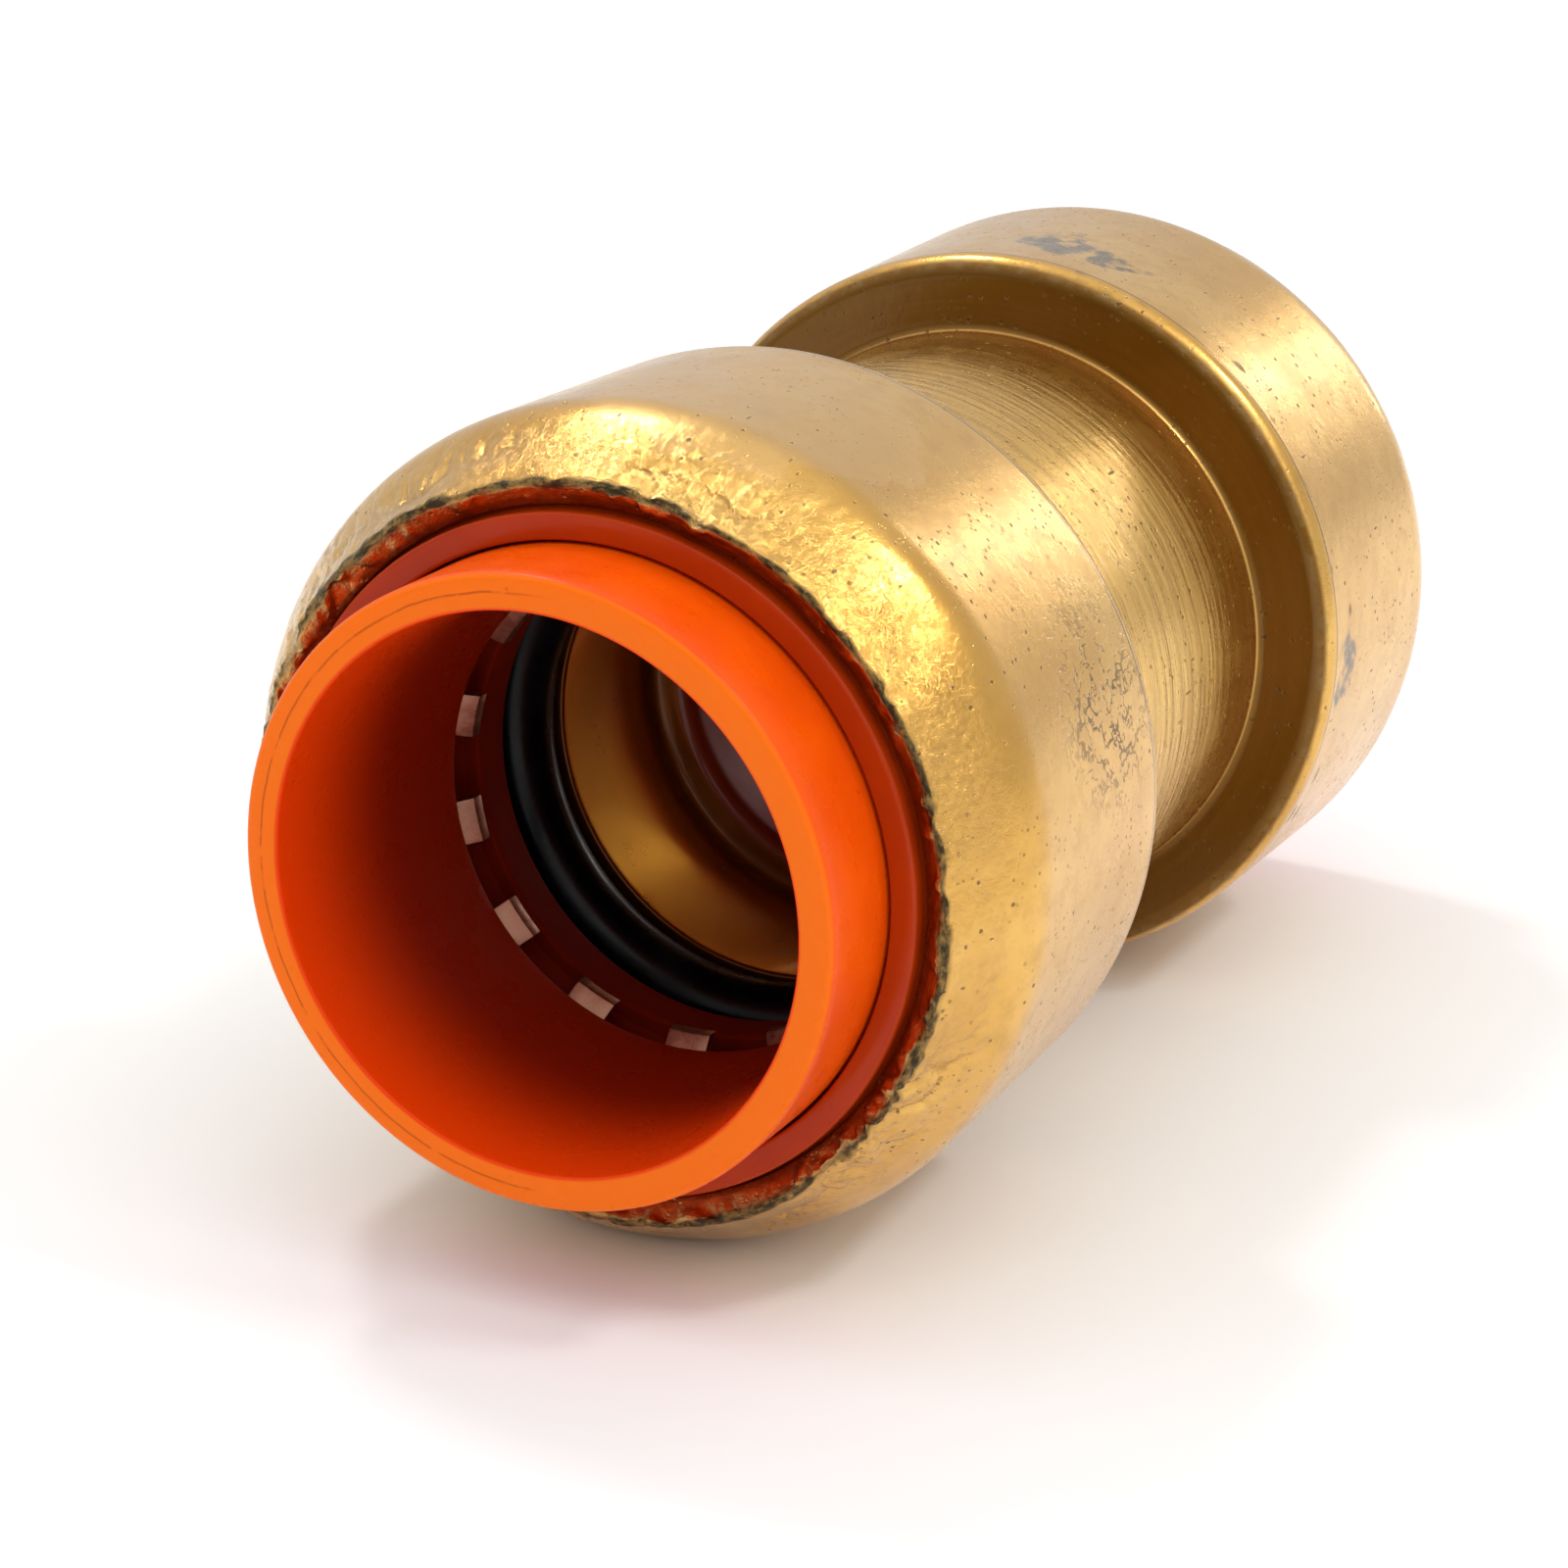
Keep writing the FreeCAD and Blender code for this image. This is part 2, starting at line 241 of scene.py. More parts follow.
class Nodes:
    """A short way to write node trees."""

    def __init__(self, name):
        self.material = bpy.data.materials.new(name)
        self.material.use_nodes = True
        self.tree = self.material.node_tree
        self.shader = self.tree.nodes["Principled BSDF"]
        coordinates = self.tree.nodes.new("ShaderNodeTexCoord")
        self.place = self.vector("SCALE", coordinates.outputs["Object"], scale=1 / MM)

    def add(self, kind, settings=None, **sockets):
        """A node of that kind, with its settings made and its sockets set or linked."""
        node = self.tree.nodes.new(kind)
        for key, value in (settings or {}).items():
            setattr(node, key, value)
        for key, value in sockets.items():
            self.put(node.inputs[key.replace("_", " ")], value)
        return node

    def put(self, socket, value):
        """Links an output to a socket, or sets its value."""
        if isinstance(value, bpy.types.NodeSocket):
            self.tree.links.new(value, socket)
        else:
            socket.default_value = value

    def set(self, name, value):
        """Sets or links a socket of the shader."""
        self.put(self.shader.inputs[name], value)

    def math(self, operation, *values, clamp=False):
        """A math node on numbers or outputs."""
        node = self.add("ShaderNodeMath", {"operation": operation, "use_clamp": clamp})
        for socket, value in zip(node.inputs, values):
            self.put(socket, value)
        return node.outputs[0]

    def times(self, *values):
        """Product of the values."""
        return functools.reduce(functools.partial(self.math, "MULTIPLY"), values)

    def most(self, *values):
        """Largest of the values."""
        return functools.reduce(functools.partial(self.math, "MAXIMUM"), values)

    def vector(self, operation, *values, scale=None):
        """A vector math node."""
        node = self.add("ShaderNodeVectorMath", {"operation": operation})
        for socket, value in zip(node.inputs, values):
            self.put(socket, value)
        if scale is not None:
            self.put(node.inputs["Scale"], scale)
        return node.outputs["Value" if operation == "DISTANCE" else "Vector"]

    def noise(self, size, detail=3.0, roughness=0.5, place=None, distortion=0.0):
        """Noise with features about size mm across."""
        return self.add(
            "ShaderNodeTexNoise",
            Vector=place or self.place, Scale=1 / size, Detail=detail,
            Roughness=roughness, Distortion=distortion,
        ).outputs["Fac"]

    def cells(self, size, place=None):
        """Distance from scattered points about size mm apart, 0 at each point."""
        points = self.add("ShaderNodeTexVoronoi", Vector=place or self.place, Scale=1 / size)
        return points.outputs["Distance"]

    def stretched(self, x, angle, radius):
        """A place for noise, stretched along or round the axis."""
        return self.add("ShaderNodeCombineXYZ", X=x, Y=angle, Z=radius).outputs[0]

    def step(self, value, low, high, bottom=0.0, top=1.0):
        """Smooth step from bottom to top as value goes from low to high."""
        node = self.add("ShaderNodeMapRange", {"interpolation_type": "SMOOTHSTEP"})
        for key, number in zip(("Value", "From Min", "From Max", "To Min", "To Max"),
                               (value, low, high, bottom, top)):
            self.put(node.inputs[key], number)
        return node.outputs[0]

    def mix(self, factor, first, second):
        """Mixes two colours."""
        node = self.add("ShaderNodeMix", {"data_type": "RGBA"})
        for index, value in ((0, factor), (6, first), (7, second)):
            self.put(node.inputs[index], (*value, 1.0) if isinstance(value, tuple) else value)
        return node.outputs[2]

    def spot(self, place, centre, reach, edge=0.93):
        """1 within reach mm of centre, falling to 0 outside."""
        distance = self.vector("DISTANCE", place, centre)
        return self.step(distance, reach, reach * edge)

    def bump(self, height, distance):
        """Bump of height times distance mm."""
        return self.add("ShaderNodeBump", Strength=1.0, Distance=distance * MM, Height=height).outputs[0]

    def attribute(self, name):
        """A value that body_shape left on the mesh."""
        return self.add("ShaderNodeAttribute", {"attribute_name": name}).outputs["Fac"]

    def around(self):
        """(x, radius, angle): x and radius in mm, angle about the axis with its seam underneath."""
        parts = self.add("ShaderNodeSeparateXYZ", Vector=self.place)
        x, y, z = parts.outputs
        radius = self.math("SQRT", self.math("ADD", self.times(y, y), self.times(z, z)))
        angle = self.math("ARCTAN2", y, z)
        return x, radius, angle


# ---- materials ----------------------------------------------------------------------------

def brass_zones(n, away, radius):
    """Parts of the body's surface by name, each 1 there and 0 elsewhere."""
    inside = n.step(radius, 10.2, 9.8)
    seat = n.times(inside, n.times(n.step(radius, BORE_R + 0.005, BORE_R + 0.025), n.step(away, 8.0, 8.4)))
    return {
        "neck": n.times(n.step(away, 8.15, 7.95), n.step(radius, 10.2, 10.4)),
        "inside": inside,
        "back_face": n.times(n.step(away, 8.62, 8.45), n.step(radius, NECK_R + 0.04, NECK_R + 0.14)),
        "stop": n.times(inside, n.step(radius, STOP_R + 0.7, STOP_R + 0.2)),
        # painted shade in the seat and round the stop's bore
        "recess_shade": n.most(n.times(inside, n.step(away, STOP_X + 1.0, STOP_X)), seat),
    }


def brass_stains(n):
    """(dull, burnt): a dull stain with a sharp edge on one bell, burnt spots on the other."""
    cloud = n.add("ShaderNodeTexNoise", Vector=n.place, Scale=0.45, Detail=4.0).outputs["Color"]
    wandering = n.vector("ADD", n.place, n.vector("SCALE", cloud, scale=3.0))
    dull = n.spot(wandering, *DULL_PATCH)
    burnt = n.most(*[n.spot(wandering, centre, reach, 0.75) for centre, reach in BURNT_SPOTS])
    return dull, n.times(burnt, n.step(n.noise(0.8, 4.0, 0.6), 0.32, 0.55))


def brass_dirt(n, x, angle, away, inside):
    """Pits, flecks, winding and straight scratches, and dashes where the far bell was gripped."""
    battered = n.spot(n.place, *BATTERED_PATCH, 0.2)
    pits = n.times(n.step(n.cells(0.55), 0.17, 0.08), n.step(n.noise(4.0, 2.0), 0.40, 0.62))
    flecks = n.times(n.step(n.cells(0.33), 0.21, 0.10), n.step(n.noise(2.2, 3.0), 0.46, 0.62))
    dirt = n.most(pits, n.times(flecks, 0.6))

    for size in (0.9, 1.6):
        off_line = n.math("ABSOLUTE", n.math("SUBTRACT", n.noise(size, 3.0, 0.6), 0.5))
        broken = n.step(n.noise(0.7 * size, 2.0), 0.43, 0.51)
        dirt = n.most(dirt, n.times(n.times(n.step(off_line, 0.024, 0.009), broken), battered))

    # (rotation, how much the scratch is drawn out, how rare it is)
    scratches = (
        ((0.5, 0.9, 0.4), 0.16, 0.46),
        ((0.2, -0.7, 1.2), 0.22, 0.50),
        ((1.2, 0.3, 0.1), 0.30, 0.46),
    )
    for turn, squeeze, rarity in scratches:
        along = n.add("ShaderNodeMapping", Vector=n.place)
        along.inputs["Rotation"].default_value = turn
        along.inputs["Scale"].default_value = (squeeze, 1.0, 1.0)
        scratch = n.step(n.cells(0.62, place=along.outputs[0]), 0.085, 0.035)
        spread = n.most(n.step(n.noise(3.0, 2.0), rarity, rarity + 0.12), battered)
        dirt = n.most(dirt, n.times(scratch, spread))

    dash_place = n.stretched(n.times(x, 1.1), n.times(angle, 6.0), 0.0)
    dashes = n.step(n.cells(0.9, place=dash_place), 0.26, 0.12)
    band = n.times(n.step(away, 8.7, 9.1), n.step(away, 10.9, 10.4))
    dashes = n.times(dashes, n.times(band, n.step(x, -1.0, 1.0)))
    dirt = n.most(dirt, n.times(dashes, n.step(n.noise(2.0, 3.0), 0.42, 0.55)))
    return n.times(dirt, n.step(inside, 0.0, 1.0, 1.0, 0.05))


def make_brass():
    """Worn brass: brushed neck, stained and scratched bells, crumpled crimp and oxidised lip; painted shade
    on the back faces, the seat and the stop's bore, and painted reflections of the orange plastic in the
    bores and on the lip's inner face.
    """
    n = Nodes("worn_brass")
    x, radius, angle = n.around()
    away = n.math("ABSOLUTE", x)
    lip, crimp, lip_inner = n.attribute("lip"), n.attribute("crimp"), n.attribute("lip_inner")
    zone = brass_zones(n, away, radius)
    dull, burnt = brass_stains(n)
    dirt = brass_dirt(n, x, angle, away, zone["inside"])

    # warm and pale patches with a fine mottle over them, lighter on the turned neck
    colour = n.mix(n.step(n.noise(6.5, 4.0, 0.55), 0.36, 0.66), BRASS_WARM, BRASS_LIGHT)
    colour = n.mix(n.step(n.noise(0.9, 6.0, 0.68), 0.42, 0.72, 0.0, 0.55), colour, BRASS_MOTTLE)
    pale = n.step(n.noise(3.4, 5.0, 0.6, distortion=0.6), 0.50, 0.70, 0.0, 0.25)
    colour = n.mix(pale, colour, BRASS_PALE)
    colour = n.mix(n.times(zone["neck"], 0.6), colour, BRASS_NECK)
    colour = n.mix(n.times(dull, 0.40), colour, BRASS_DULL)
    colour = n.mix(n.times(burnt, 0.9), colour, BRASS_BURNT)

    # painted shade darkens the bells' back faces, the bore gets a deep yellow painted reflection of the
    # orange plastic, and the seat and the stop's bore get painted shade, dark red in the stop's bore as a
    # painted reflection of the orange plastic
    colour = n.mix(n.times(zone["back_face"], 0.95), colour, BRASS_BACK_FACE_SHADE)
    colour = n.mix(n.times(zone["inside"], 0.95), colour, BRASS_BORE_REFLECTION)
    colour = n.mix(zone["recess_shade"], colour, BRASS_RECESS_SHADE)
    colour = n.mix(zone["stop"], colour, BRASS_STOP_SHADE)

    # turning marks run round the neck, faintly round the back faces, and a seam round each bell
    marks_place = n.stretched(n.times(x, 2.6), n.times(angle, 1.1), n.times(radius, 5.0))
    marks = n.noise(1.0, 5.0, 0.62, place=marks_place)
    streaked = n.most(zone["neck"], n.times(zone["back_face"], 0.07))
    colour = n.mix(n.times(streaked, n.step(marks, 0.44, 0.66, 0.0, 0.5)), colour, BRASS_STREAK)
    off_seam = n.math("ABSOLUTE", n.math("SUBTRACT", away, SEAM_X))
    seam = n.times(n.step(off_seam, 0.07, 0.03), n.step(radius, 13.2, 13.25))
    colour = n.mix(n.times(seam, 0.75), colour, BRASS_SEAM)

    # dirt in the marks, and grime along the back edges of the bells
    colour = n.mix(n.times(dirt, 0.82), colour, DIRT)
    grime = n.times(n.step(radius, 12.7, 12.95), n.step(away, 8.75, 8.5))
    grime = n.times(grime, n.step(n.noise(0.7, 4.0, 0.65), 0.42, 0.62))
    colour = n.mix(n.times(grime, 0.6), colour, GRIME)

    # dark, streaky oxide on the ragged lip; on its inner face a brown haze, partly oxide and partly a painted
    # reflection of the plastic beside it
    crust_place = n.stretched(n.times(x, 4.5), n.times(angle, 24.0), n.times(radius, 4.5))
    crust = n.noise(1.0, 4.0, 0.65, place=crust_place)
    oxide = n.mix(n.step(crust, 0.40, 0.66), OXIDE_DARK, OXIDE_LIGHT)
    patina = n.math("MULTIPLY", lip, n.step(n.noise(0.5, 4.0, 0.6), 0.28, 0.46, 0.55, 1.0), clamp=True)
    colour = n.mix(n.times(lip_inner, n.step(crust, 0.35, 0.65, 0.95, 0.45)), colour, OXIDE_REFLECTION_HAZE)
    colour = n.mix(patina, colour, oxide)
    n.set("Base Color", colour)

    less_metal = n.most(n.times(burnt, 0.3), n.times(zone["stop"], 0.8))
    n.set("Metallic", n.step(less_metal, 0.0, 1.0, 1.0, 0.0))
    rough = n.step(n.noise(1.8, 5.0, 0.65), 0.3, 0.75, 0.22, 0.33)
    rough = n.math("ADD", rough, n.times(n.most(dull, zone["inside"]), 0.05))
    rough = n.math("ADD", rough, n.times(n.most(zone["recess_shade"], zone["back_face"]), 0.2))
    rough = n.math("SUBTRACT", rough, n.times(crimp, 0.13))
    rough = n.math("ADD", rough, n.times(dirt, 0.25))
    rough = n.math("ADD", rough, n.times(patina, 0.3), clamp=True)
    n.set("Roughness", rough)

    turned = n.most(zone["neck"], n.times(zone["back_face"], 0.05))
    height = n.times(n.noise(0.30, 5.0, 0.65), 0.30)
    height = n.math("ADD", height, n.times(n.noise(1.6, 3.0, 0.5), 0.25))
    height = n.math("SUBTRACT", height, n.times(dirt, 0.9))
    height = n.math("ADD", height, n.times(marks, turned, 1.5))
    height = n.times(height, n.step(zone["inside"], 0.0, 1.0, 1.0, 0.03))
    height = n.math("ADD", height, n.times(n.noise(0.30, 5.0, 0.66, distortion=1.6), crimp, 1.3))
    height = n.math("ADD", height, n.times(crust, lip, 0.8))
    bump = n.bump(height, 0.03)
    n.set("Normal", bump)
    n.set("Coat Weight", 0.35)
    n.set("Coat Roughness", 0.10)
    n.set("Coat Normal", bump)
    return n.material


def paint_collar(n, colour):
    """(colour, line): painted shade darkens the collar's bore inwards, painted light makes the rim's face a
    lighter orange, and a line is scribed on the rim's face.
    """
    x, radius, angle = n.around()
    away = n.math("ABSOLUTE", x)
    # painted shade: the bore's colour darkens from the mouth inwards
    bore = n.step(radius, COLLAR_MOUTH_R + 0.14, COLLAR_MOUTH_R + 0.04)
    depth = n.step(away, RIM_X - 0.5, RIM_X - 6.5)
    colour = n.mix(bore, colour, n.mix(depth, COLLAR_MOUTH, COLLAR_BORE_SHADE))
    # painted light: the rim's face is a lighter orange
    off_bore = n.step(radius, COLLAR_MOUTH_R + 0.04, COLLAR_MOUTH_R + 0.14)
    face = n.times(n.step(away, RIM_X - 0.16, RIM_X - 0.03), off_bore)
    colour = n.mix(face, colour, COLLAR_FACE_LIT)
    wobble = n.times(n.math("SUBTRACT", n.noise(1.5, 3.0), 0.5), 0.12)
    off_line = n.math("ABSOLUTE", n.math("SUBTRACT", n.math("ADD", radius, wobble), SCRIBED_R))
    line = n.times(n.step(off_line, 0.045, 0.020), n.step(n.noise(1.1, 4.0, 0.6), 0.36, 0.50))
    return colour, n.times(line, face, n.step(angle, -0.15, 0.15))


def make_plastic(name, bright, deep, roughness, shine, collar=False):
    """Moulded plastic, a little translucent, with flow marks and specks; the collar has a scribed rim,
    painted shade down its bore and painted light on its rim's face.
    """
    n = Nodes(name)
    colour = n.mix(n.step(n.noise(4.0, 3.0, 0.55), 0.3, 0.7), deep, bright)
    colour = n.mix(n.step(n.noise(0.8, 5.0, 0.6), 0.5, 0.8, 0.0, 0.25), colour, deep)
    speck = n.times(n.step(n.cells(1.3), 0.075, 0.03), n.step(n.noise(3.0, 2.0), 0.48, 0.62))
    if collar:
        colour, line = paint_collar(n, colour)
        speck = n.most(speck, line)
    colour = n.mix(n.times(speck, 0.45), colour, tuple(part * 0.25 for part in deep))
    n.set("Base Color", colour)
    n.set("Roughness", n.step(n.noise(1.2, 4.0), 0.3, 0.7, roughness - 0.05, roughness + 0.07))
    n.set("Subsurface Weight", 0.25)
    n.set("Subsurface Radius", (1.0, 0.16, 0.03))
    n.set("Subsurface Scale", 1.0 * MM)
    n.set("IOR", 1.46)
    n.set("Specular IOR Level", shine)
    height = n.math("SUBTRACT", n.noise(0.5, 4.0, 0.55), n.times(speck, 2.0))
    n.set("Normal", n.bump(height, 0.004))
    return n.material


def make_rubber():
    """Smooth black rubber with faint smears of lubricant."""
    n = Nodes("seal_rubber")
    smear = n.noise(2.0, 3.0, 0.5)
    n.set("Base Color", n.mix(n.step(smear, 0.4, 0.7), RUBBER_DARK, RUBBER_LIGHT))
    n.set("Roughness", n.step(smear, 0.3, 0.7, 0.22, 0.34))
    n.set("Specular IOR Level", 0.2)
    n.set("Normal", n.bump(n.noise(0.3, 3.0, 0.5), 0.003))
    return n.material


def make_steel():
    """Stamped stainless steel, tinted by a painted reflection of the plastic round it, with a fine grain."""
    n = Nodes("stamped_steel")
    grain_place = n.add("ShaderNodeMapping", Vector=n.place)
    grain_place.inputs["Scale"].default_value = (1.0, 6.0, 6.0)
    grain = n.noise(1.0, 4.0, 0.6, place=grain_place.outputs[0])
    n.set("Base Color", n.mix(n.step(grain, 0.3, 0.7), STEEL_DARK, STEEL_LIGHT))
    n.set("Metallic", 0.85)
    n.set("Roughness", n.step(grain, 0.3, 0.7, 0.30, 0.45))
    n.set("Normal", n.bump(grain, 0.006))
    return n.material


# ---- the pieces ---------------------------------------------------------------------------

def body_outline():
    """Outline of the whole brass body, in mm."""
    right = [
        (BELL_BACK_X, NECK_R, 0.35),
        (BELL_BACK_X, BELL_BACK_R, BELL_EDGE_ROUND),
        (SHOULDER_X, BELL_R, SHOULDER_ROUND),
        (LIP_X, LIP_R, 0.22),
        (LIP_INNER_X, LIP_INNER_R, 0.12),
        (LIP_CAVITY_X, COUNTERBORE_R, 0.1),
        (COUNTERBORE_X, COUNTERBORE_R, 0.1),
        (COUNTERBORE_X, SEAT_R, 0.1),
        (SEAT_X, SEAT_R, 0.1),
        (SEAT_X, BORE_R, 0.15),
        (STOP_X, BORE_R, 0.6),
        (STOP_X, STOP_R, 0.6),
    ]
    left = [(-corner[0],) + corner[1:] for corner in reversed(right)]
    return rounded(right + left, 0.14, 7)


def body_shape(x, r, points):
    """Crumples the crimped ends, makes the lip's edge ragged and marks both for the material."""
    away = np.abs(x)
    outer = np.where(away > 18, smooth(r, 11.0, 11.4), r > 10.0)
    crimp = smooth(away, 18.4, 20.9) * outer
    spread = smooth(noise(points, 3.2, 20), 0.30, 0.58)
    warped = points + np.stack([noise(points, 1.3, seed) for seed in (11, 12, 13)], -1) * 1.3
    creases = ridges(warped, 1.15, 21) ** 4 * 0.5 + ridges(warped, 0.5, 22) ** 4 * 0.35
    creases = creases + ridges(warped, 0.28, 25) ** 3 * 0.15
    dents = noise(points, 2.1, 23) * 0.6 + noise(points, 0.9, 24) * 0.4
    near_lip = smooth(away, 19.3, 21.2)
    r = r + crimp * ((dents - 0.5) * 0.20 - spread * creases * (0.16 + 0.20 * near_lip))

    ring = points * [0, 1, 1]
    ragged = (noise(ring, 2.1, 31) - 0.5) * 0.26 + (noise(ring, 0.8, 32) - 0.5) * 0.16
    burrs = smooth(noise(ring, 0.5, 33), 0.60, 0.85) * 0.08
    at_edge = smooth(away, 21.1, 21.95)
    x = x + np.sign(x) * (ragged * 0.6 + burrs) * at_edge
    r = r + (ragged * 0.3 - burrs) * at_edge * outer
    wander = (noise(ring, 1.1, 34) - 0.5) * 0.18 + (noise(ring, 0.4, 35) - 0.5) * 0.12
    edge = smooth(r + wander, 11.50, 11.58) * smooth(away + wander, 21.78, 21.88)
    inner = smooth(away, 21.2, 21.4) * (1 - smooth(r, 11.6, 11.8))
    return x, r, {"lip": edge, "crimp": crimp, "lip_inner": inner}


def make_body(brass):
    """The brass body."""
    body = lathe("brass_body", body_outline(), 960, shape=body_shape)
    place(body, "fitting", "body", "brass", brass)


def collar_outline():
    """Outline of a release collar: tip, nose with its cone, flange under the cartridge, and rim."""
    flange_x = CARTRIDGE_FACE_X - FLANGE_DEPTH
    flange_back_x = flange_x - FLANGE_WIDTH
    return rounded([
        (COLLAR_X, COLLAR_TIP_R, 0.05),
        (COLLAR_X, COLLAR_TIP_R + COLLAR_TIP_WALL, 0.05),
        (COLLAR_X + NOSE_CONE, NOSE_R, 0.1),
        (NOSE_SHOULDER_X, NOSE_R, 0.05),
        (NOSE_SHOULDER_X, COLLAR_R, 0.1),
        (flange_back_x - FLANGE_CONE, COLLAR_R, 0.05),
        (flange_back_x, FLANGE_R, 0.1),
        (flange_x, FLANGE_R, 0.1),
        (flange_x, COLLAR_R, 0.05),
        (RIM_X, COLLAR_R, 0.22),
        (RIM_X, COLLAR_MOUTH_R, 0.12),
    ], 0.35, 5)


def make_collar(end, side, plastic):
    """The release collar of one end."""
    collar = lathe("collar_" + end, collar_outline(), 360, side)
    place(collar, "release_collar_" + end, "release_collar_" + end, "collar_plastic", plastic)


def make_cartridge(end, side, plastic):
    """The cartridge of one end, which holds the collar in."""
    cavity_r, face_r = CARTRIDGE_R - CARTRIDGE_WALL, CARTRIDGE_R - CARTRIDGE_DROP
    brim_r, brim_x = COLLAR_R + CARTRIDGE_GAP, CARTRIDGE_FACE_X - CARTRIDGE_BRIM
    outline = rounded([
        (CARTRIDGE_X, cavity_r, 0.05),
        (CARTRIDGE_X, CARTRIDGE_R, 0.05),
        (CARTRIDGE_FACE_X - CARTRIDGE_TAPER[0], CARTRIDGE_R, 0.05),
        (CARTRIDGE_FACE_X - CARTRIDGE_TAPER[1], face_r, 0.05),
        (CARTRIDGE_FACE_X, face_r, 0.12),
        (CARTRIDGE_FACE_X, brim_r, 0.10),
        (brim_x, brim_r, 0.1),
        (brim_x, cavity_r, 0.05),
    ], 0.35, 5)
    ring = lathe("cartridge_ring_" + end, outline, 360, side)
    place(ring, "fitting", "cartridge_" + end, "cartridge_plastic", plastic)


def make_protector(end, side, plastic):
    """The O-ring protector of one end, hollowed in front to clear the bent teeth."""
    recess_x = COLLAR_X - RECESS_DEPTH
    outline = rounded([
        (PROTECTOR_X, PROTECTOR_R, 0.15),
        (PROTECTOR_X, PROTECTOR_BORE_R + PROTECTOR_CHAMFER_R, 0.08),
        (PROTECTOR_X + PROTECTOR_CHAMFER_X, PROTECTOR_BORE_R, 0.15),
        (recess_x, PROTECTOR_BORE_R, 0.15),
        (recess_x, RECESS_R, 0.05),
        (PROTECTOR_FRONT_X, RECESS_MOUTH_R, 0.05),
        (PROTECTOR_FRONT_X, PROTECTOR_R, 0.15),
    ], 0.3, 4)
    ring = lathe("protector_ring_" + end, outline, 300, side)
    place(ring, "fitting", "o_ring_protector_" + end, "protector_plastic", plastic)


def make_seal(end, side, rubber):
    """The O-ring of one end."""
    radius = (O_RING_FRONT_X - O_RING_X) / 2
    turn = np.arange(40) * 2 * math.pi / 40
    outline = np.stack([
        (O_RING_X + O_RING_FRONT_X) / 2 + radius * np.cos(turn),
        O_RING_R - radius + radius * np.sin(turn),
    ], -1)
    seal = lathe("seal_ring_" + end, outline, 300, side)
    place(seal, "fitting", "o_ring_" + end, "rubber", rubber)


def make_grab_ring(end, steel):
    """The CAD ring's shape with softened stamped edges."""
    node = "grab_ring_" + end
    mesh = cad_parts[node].data.copy()
    ring = bpy.data.objects.new("toothed_ring_" + end, mesh)
    bpy.context.scene.collection.objects.link(ring)
    weld = ring.modifiers.new("weld", "WELD")
    weld.merge_threshold = 0.002 * MM
    soften = ring.modifiers.new("soften", "BEVEL")
    soften.width = 0.04 * MM
    soften.segments = 2
    soften.limit_method = "ANGLE"
    soften.angle_limit = math.radians(40)
    graph = bpy.context.evaluated_depsgraph_get()
    final = bpy.data.meshes.new_from_object(ring.evaluated_get(graph))
    ring.modifiers.clear()
    ring.data = final
    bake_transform(ring)
    place(ring, None, node, "steel", steel)


# ---- floor, light and camera --------------------------------------------------------------

def make_floor():
    """Plain pale floor under the body."""
    size = 4.0
    mesh = bpy.data.meshes.new("floor")
    corners = [(-size, -size, FLOOR_Z), (size, -size, FLOOR_Z), (size, size, FLOOR_Z), (-size, size, FLOOR_Z)]
    mesh.from_pydata(corners, [], [(0, 1, 2, 3)])
    floor = bpy.data.objects.new("floor", mesh)
    bpy.context.scene.collection.objects.link(floor)
    n = Nodes("pale_floor")
    n.set("Base Color", (0.91, 0.91, 0.91, 1.0))
    n.set("Roughness", 0.7)
    mesh.materials.append(n.material)


def make_light(name, direction, distance, width, height, energy):
    """Soft box that stands in that direction from the object and faces it."""
    data = bpy.data.lights.new(name, "AREA")
    data.shape = "RECTANGLE"
    data.size, data.size_y = width, height
    data.energy = energy
    light = bpy.data.objects.new(name, data)
    towards = Vector(direction).normalized()
    light.location = towards * distance
    light.rotation_mode = "QUATERNION"
    light.rotation_quaternion = (-towards).to_track_quat("-Z", "Y")
    bpy.context.scene.collection.objects.link(light)


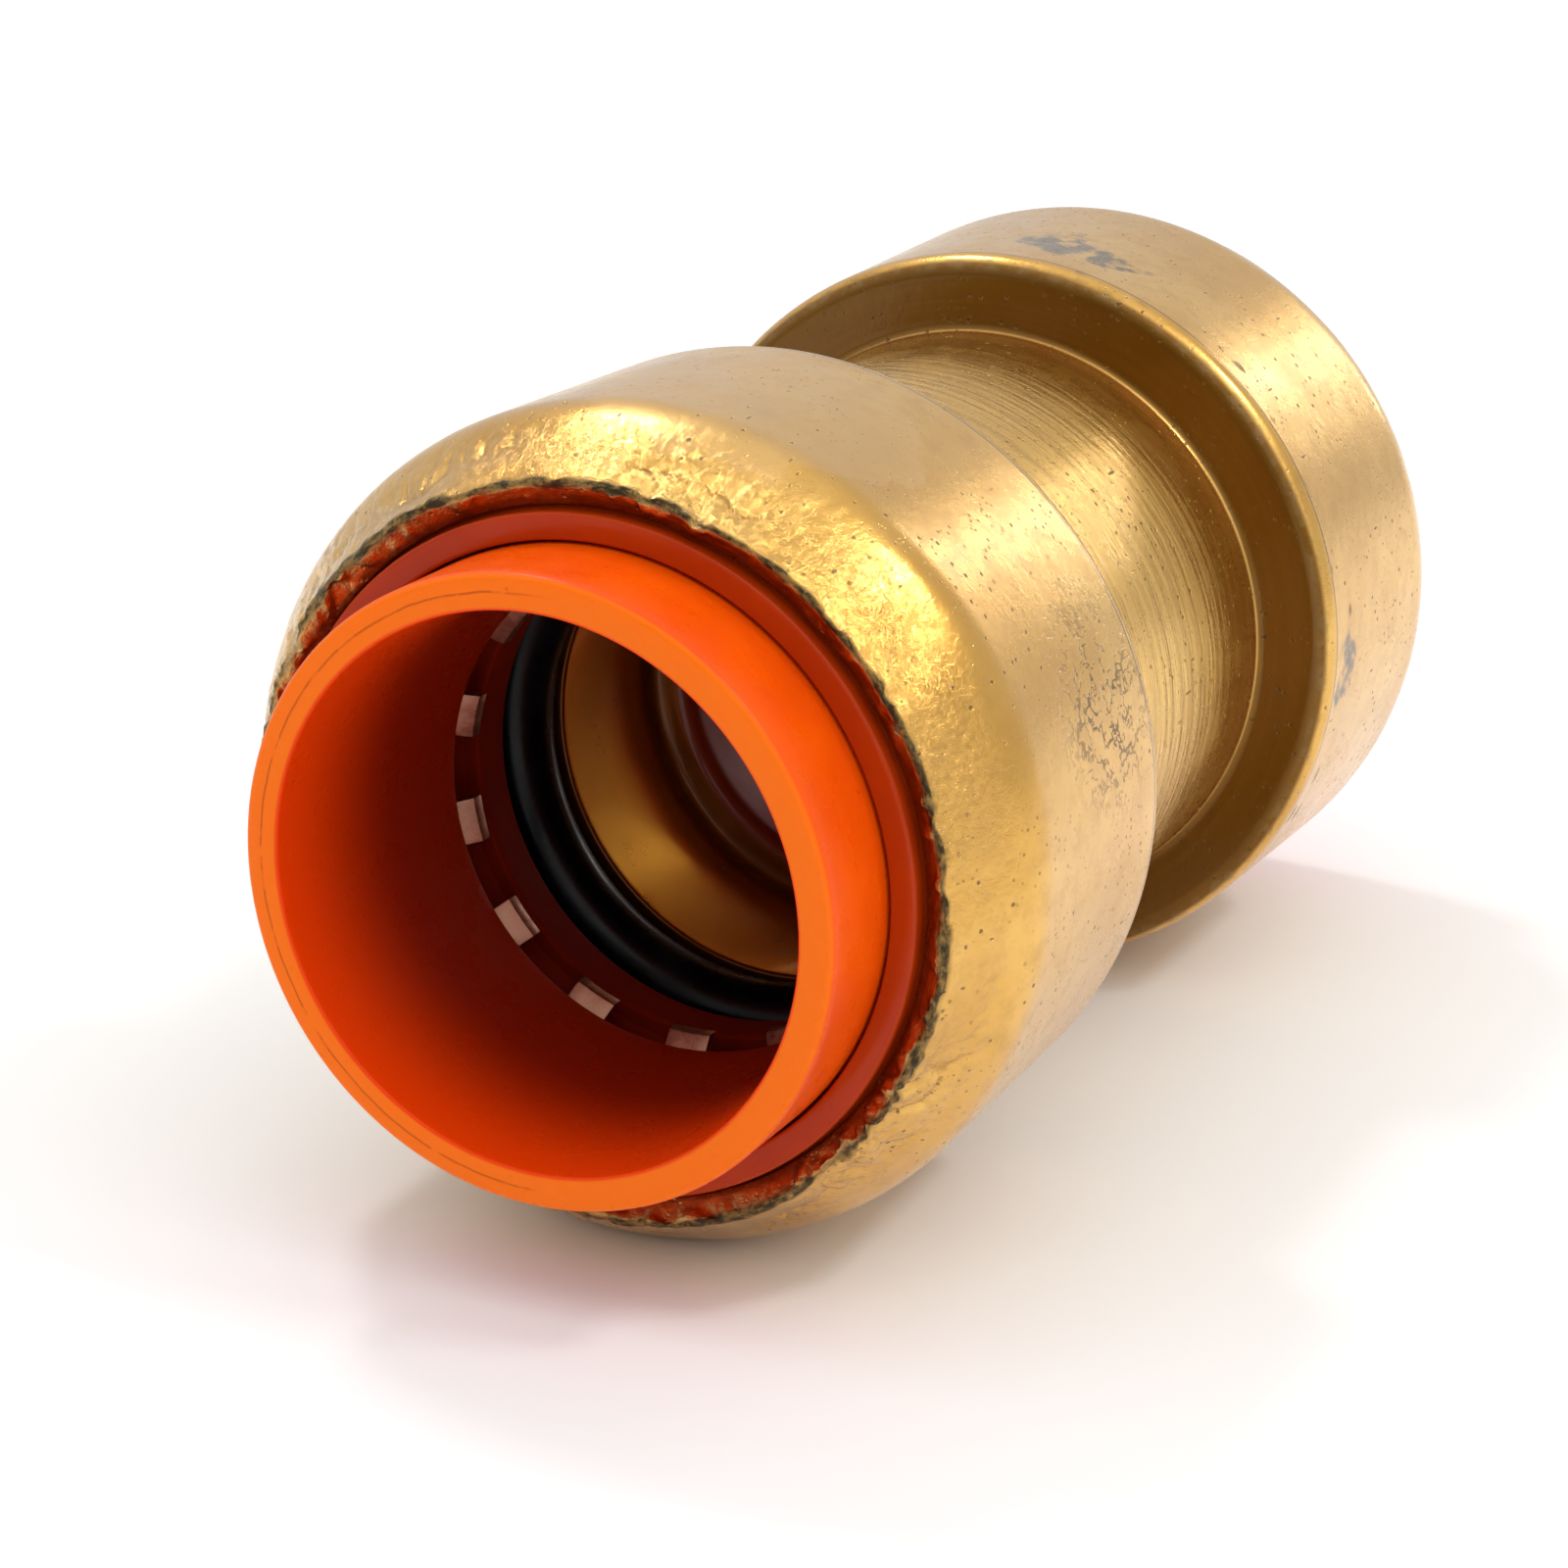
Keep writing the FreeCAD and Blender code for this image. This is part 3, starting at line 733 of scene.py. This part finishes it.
def make_world():
    """Soft studio: brighter behind the object and overhead than in front of it."""
    world = bpy.data.worlds.new("studio")
    bpy.context.scene.world = world
    world.use_nodes = True
    tree = world.node_tree
    coordinates = tree.nodes.new("ShaderNodeTexCoord")
    parts = tree.nodes.new("ShaderNodeSeparateXYZ")
    tree.links.new(coordinates.outputs["Generated"], parts.inputs[0])
    total = tree.nodes.new("ShaderNodeMath")
    ramps = (("X", -0.9, -0.1, 0.15, 0.74), ("Z", 0.6, 0.98, 0.0, 0.24))
    for socket, (axis, start, end, low, high) in zip(total.inputs, ramps):
        ramp = tree.nodes.new("ShaderNodeMapRange")
        ramp.interpolation_type = "SMOOTHSTEP"
        for key, number in zip(("From Min", "From Max", "To Min", "To Max"), (start, end, low, high)):
            ramp.inputs[key].default_value = number
        tree.links.new(parts.outputs[axis], ramp.inputs["Value"])
        tree.links.new(ramp.outputs[0], socket)
    tree.links.new(total.outputs[0], tree.nodes["Background"].inputs["Strength"])
    tree.nodes["Background"].inputs["Color"].default_value = (1, 1, 1, 1)


def make_camera():
    """Looks down on the near end from the left of the tube's axis."""
    back = Vector((
        math.sin(CAMERA_AZIMUTH) * math.cos(CAMERA_ELEVATION),
        -math.cos(CAMERA_AZIMUTH) * math.cos(CAMERA_ELEVATION),
        math.sin(CAMERA_ELEVATION),
    ))
    across = Vector((-back.y, back.x, 0)).normalized()
    upwards = back.cross(across)
    data = bpy.data.cameras.new("camera")
    data.lens, data.sensor_width = CAMERA_LENS, CAMERA_SENSOR
    data.clip_start, data.clip_end = 0.01, 20.0
    camera = bpy.data.objects.new("camera", data)
    turn = Matrix((across, upwards, back)).transposed().to_4x4()
    camera.matrix_world = Matrix.Translation(CAMERA_PLACE) @ turn
    bpy.context.scene.collection.objects.link(camera)
    bpy.context.scene.camera = camera


def main():
    """Builds the materials, the pieces and the studio."""
    brass = make_brass()
    orange = make_plastic("orange_collar", COLLAR_BRIGHT, COLLAR_DEEP, 0.30, 0.16, collar=True)
    brick = make_plastic("brick_cartridge", CARTRIDGE_BRIGHT, CARTRIDGE_DEEP, 0.20, 0.20)
    red = make_plastic("red_protector", PROTECTOR_BRIGHT, PROTECTOR_DEEP, 0.55, 0.04)
    rubber = make_rubber()
    steel = make_steel()
    make_body(brass)
    for end, side in ENDS.items():
        make_collar(end, side, orange)
        make_cartridge(end, side, brick)
        make_grab_ring(end, steel)
        make_protector(end, side, red)
        make_seal(end, side, rubber)
    make_floor()
    make_world()
    for light in LIGHTS:
        make_light(*light)
    make_camera()
    bpy.context.scene.view_settings.view_transform = "Standard"


main()
